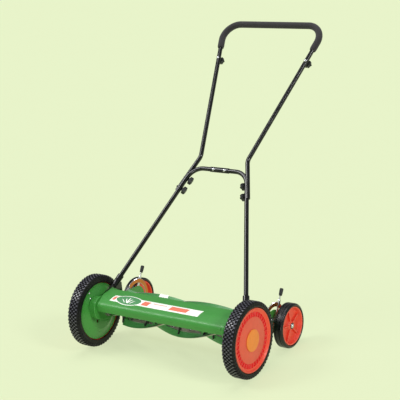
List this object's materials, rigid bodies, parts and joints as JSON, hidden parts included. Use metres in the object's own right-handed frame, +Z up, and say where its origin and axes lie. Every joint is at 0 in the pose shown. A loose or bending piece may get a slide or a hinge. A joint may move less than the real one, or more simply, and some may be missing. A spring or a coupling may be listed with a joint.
{
  "type": "reel mower",
  "caption": "Push reel mower: wheel-driven helical blade reel under a green shield, small rear tracking wheels on height levers, and a tall black tube handle with a foam grip.",
  "frame": {"origin": "on the ground, under the middle of the mower's bounding box", "axes": "+Z up, -Y is the direction of mowing, +X is the left-hand side of the person pushing"},
  "size_m": [0.674, 0.9514, 1.0044],
  "materials": {
    "green_enamel": "glossy leaf-green enamel on steel sheet",
    "blade_enamel": "green enamel with a ground bare edge",
    "black_enamel": "glossy black enamel on steel tube",
    "black_iron": "satin black",
    "orange_plastic": "semi-gloss orange-red moulded plastic",
    "amber_plastic": "semi-gloss amber moulded plastic",
    "tyre_rubber": "matt black rubber with a block tread",
    "smooth_rubber": "smooth black rubber",
    "foam": "matt dark grey closed-cell foam",
    "black_plastic": "matt black moulded plastic",
    "zinc": "bright zinc plate",
    "steel": "ground steel",
    "bronze": "oiled sintered bronze"
  },
  "bodies": {
    "frame": {"side_plate_left": "green_enamel", "side_plate_right": "green_enamel", "wheel_axle_left": "steel", "wheel_axle_right": "steel", "reel_bearing_left": "bronze", "reel_bearing_right": "bronze", "height_sector_left": "zinc", "height_sector_right": "zinc", "lever_pivot_left": "zinc", "lever_pivot_right": "zinc", "deck_shield": "green_enamel", "cutter_bar": "zinc", "bed_knife": "steel", "tie_rod": "black_enamel"},
    "wheel_left": {"wheel_rim_left": "orange_plastic", "wheel_tyre_left": "tyre_rubber", "wheel_hub_cap_left": "amber_plastic"},
    "wheel_right": {"wheel_rim_right": "orange_plastic", "wheel_tyre_right": "tyre_rubber", "wheel_hub_cap_right": "amber_plastic"},
    "pinion_left": {"pinion_left": "steel"},
    "pinion_right": {"pinion_right": "steel"},
    "reel": {"reel_shaft": "steel", "reel_blade_1": "blade_enamel", "reel_blade_2": "blade_enamel", "reel_blade_3": "blade_enamel", "reel_blade_4": "blade_enamel", "reel_blade_5": "blade_enamel", "reel_spider_1": "black_iron", "reel_spider_2": "black_iron", "reel_spider_3": "black_iron", "reel_spider_4": "black_iron", "reel_spider_5": "black_iron"},
    "height_lever_left": {"height_lever_left": "zinc", "lever_grip_left": "black_plastic"},
    "height_lever_right": {"height_lever_right": "zinc", "lever_grip_right": "black_plastic"},
    "tracking_wheel_left": {"tracking_rim_left": "orange_plastic", "tracking_tyre_left": "smooth_rubber", "tracking_cap_left": "zinc"},
    "tracking_wheel_right": {"tracking_rim_right": "orange_plastic", "tracking_tyre_right": "smooth_rubber", "tracking_cap_right": "zinc"},
    "handle": {"handle_arm_left": "black_enamel", "handle_arm_right": "black_enamel", "lower_tube_left": "black_enamel", "lower_tube_right": "black_enamel", "middle_tube_left": "black_enamel", "middle_tube_right": "black_enamel", "handle_splice": "black_enamel", "upper_loop": "black_enamel", "foam_grip": "foam"},
    "joint_knob_upper_left": {"joint_knob_upper_left": "black_plastic"},
    "joint_knob_lower_left": {"joint_knob_lower_left": "black_plastic"},
    "loop_knob_left": {"loop_knob_left": "black_plastic"},
    "joint_knob_upper_right": {"joint_knob_upper_right": "black_plastic"},
    "joint_knob_lower_right": {"joint_knob_lower_right": "black_plastic"},
    "loop_knob_right": {"loop_knob_right": "black_plastic"}
  },
  "joints": [
    {"name": "wheel_spin_left", "type": "hinge", "parent": "frame", "child": "wheel_left", "pos_m": [0.315, -0.3487, 0.127], "axis": [1, 0, 0], "continuous": true},
    {"name": "wheel_spin_right", "type": "hinge", "parent": "frame", "child": "wheel_right", "pos_m": [-0.315, -0.3487, 0.127], "axis": [1, 0, 0], "continuous": true},
    {"name": "pinion_spin_left", "type": "hinge", "parent": "frame", "child": "pinion_left", "pos_m": [0.315, -0.27399, 0.12046], "axis": [1, 0, 0], "continuous": true},
    {"name": "pinion_spin_right", "type": "hinge", "parent": "frame", "child": "pinion_right", "pos_m": [-0.315, -0.27399, 0.12046], "axis": [1, 0, 0], "continuous": true},
    {"name": "reel_spin", "type": "hinge", "parent": "frame", "child": "reel", "pos_m": [0, -0.27399, 0.12046], "axis": [1, 0, 0], "continuous": true},
    {"name": "height_set_left", "type": "hinge", "parent": "frame", "child": "height_lever_left", "pos_m": [0.2935, -0.1457, 0.104], "axis": [1, 0, 0], "range_deg": [-35, 35]},
    {"name": "height_set_right", "type": "hinge", "parent": "frame", "child": "height_lever_right", "pos_m": [-0.2935, -0.1457, 0.104], "axis": [1, 0, 0], "range_deg": [-35, 35]},
    {"name": "tracking_spin_left", "type": "hinge", "parent": "height_lever_left", "child": "tracking_wheel_left", "pos_m": [0.319, -0.10068, 0.077], "axis": [1, 0, 0], "continuous": true},
    {"name": "tracking_spin_right", "type": "hinge", "parent": "height_lever_right", "child": "tracking_wheel_right", "pos_m": [-0.319, -0.10068, 0.077], "axis": [1, 0, 0], "continuous": true},
    {"name": "handle_tilt", "type": "hinge", "parent": "frame", "child": "handle", "pos_m": [0, -0.3487, 0.127], "axis": [1, 0, 0], "range_deg": [0, 30]},
    {"name": "joint_knob_upper_left_turn", "type": "hinge", "parent": "handle", "child": "joint_knob_upper_left", "pos_m": [0.11918, 0.00388, 0.52054], "axis": [-0.8224, 0.1862, -0.5376], "range_deg": [0, 360]},
    {"name": "joint_knob_lower_left_turn", "type": "hinge", "parent": "handle", "child": "joint_knob_lower_left", "pos_m": [0.13234, -0.0217, 0.49154], "axis": [-0.8224, 0.1862, -0.5376], "range_deg": [0, 360]},
    {"name": "loop_knob_left_turn", "type": "hinge", "parent": "handle", "child": "loop_knob_left", "pos_m": [0.18511, 0.36117, 0.87813], "axis": [0, 0.7071, -0.7071], "range_deg": [0, 360]},
    {"name": "joint_knob_upper_right_turn", "type": "hinge", "parent": "handle", "child": "joint_knob_upper_right", "pos_m": [-0.11918, 0.00388, 0.52054], "axis": [0.8224, 0.1862, -0.5376], "range_deg": [0, 360]},
    {"name": "joint_knob_lower_right_turn", "type": "hinge", "parent": "handle", "child": "joint_knob_lower_right", "pos_m": [-0.13234, -0.0217, 0.49154], "axis": [0.8224, 0.1862, -0.5376], "range_deg": [0, 360]},
    {"name": "loop_knob_right_turn", "type": "hinge", "parent": "handle", "child": "loop_knob_right", "pos_m": [-0.18511, 0.36117, 0.87813], "axis": [0, 0.7071, -0.7071], "range_deg": [0, 360]}
  ],
  "couplings": [
    {"joint": "pinion_spin_left", "follows": "wheel_spin_left", "ratio": 6},
    {"joint": "reel_spin", "follows": "wheel_spin_left", "ratio": 6},
    {"joint": "pinion_spin_right", "follows": "wheel_spin_right", "ratio": 6}
  ]
}
